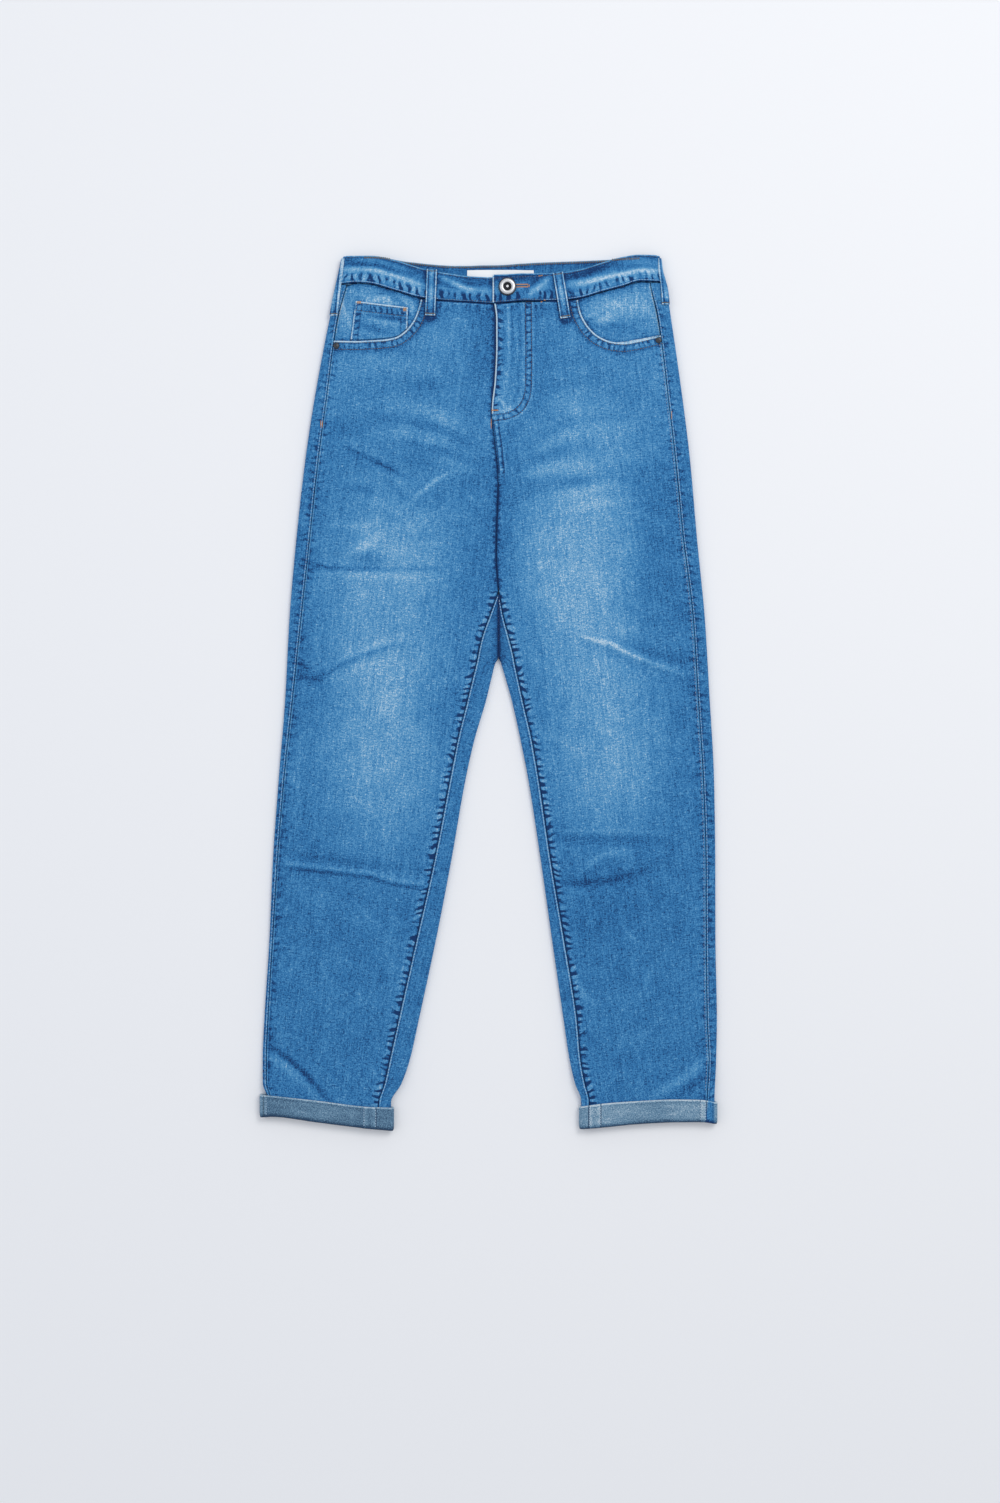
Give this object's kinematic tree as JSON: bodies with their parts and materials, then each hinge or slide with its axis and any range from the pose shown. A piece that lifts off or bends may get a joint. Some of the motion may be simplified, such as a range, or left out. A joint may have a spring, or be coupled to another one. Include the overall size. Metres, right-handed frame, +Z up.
{
  "type": "jeans",
  "caption": "High-waisted blue jeans laid flat, front up, with faded thighs, curved front pockets, a coin pocket, a metal button and turned-up hems",
  "frame": {"origin": "on the floor, under the middle of the garment's outline", "axes": "+Y from the hems to the waist, +X to the wearer's left, +Z up from the floor through the front of the jeans"},
  "size_m": [0.5146, 0.985, 0.0146],
  "materials": {
    "denim_front": "stone-washed mid blue twill, faded at the thighs",
    "denim_back": "mid blue twill",
    "denim_trim": "mid blue twill with pale worn edges",
    "denim_reverse": "grey-blue reverse side of the twill",
    "label_cloth": "plain white woven tape",
    "zip_tape": "dark blue tape",
    "nickel": "dull nickel plate"
  },
  "bodies": {
    "root": {"front_right": "denim_front", "front_left": "denim_front", "back_right": "denim_back", "back_left": "denim_back", "yoke_right": "denim_back", "yoke_left": "denim_back", "back_pocket_right": "denim_back", "back_pocket_left": "denim_back", "fly_shield": "denim_back", "waistband": "denim_trim", "loop_front_right": "denim_trim", "loop_front_left": "denim_trim", "loop_side_right": "denim_trim", "loop_side_left": "denim_trim", "loop_back": "denim_trim", "pocket_facing_right": "denim_trim", "pocket_facing_left": "denim_trim", "coin_pocket": "denim_trim", "cuff_right": "denim_reverse", "cuff_left": "denim_reverse", "label": "label_cloth", "zip": "zip_tape", "button": "nickel", "rivet_right": "nickel", "rivet_left": "nickel"}
  },
  "joints": []
}
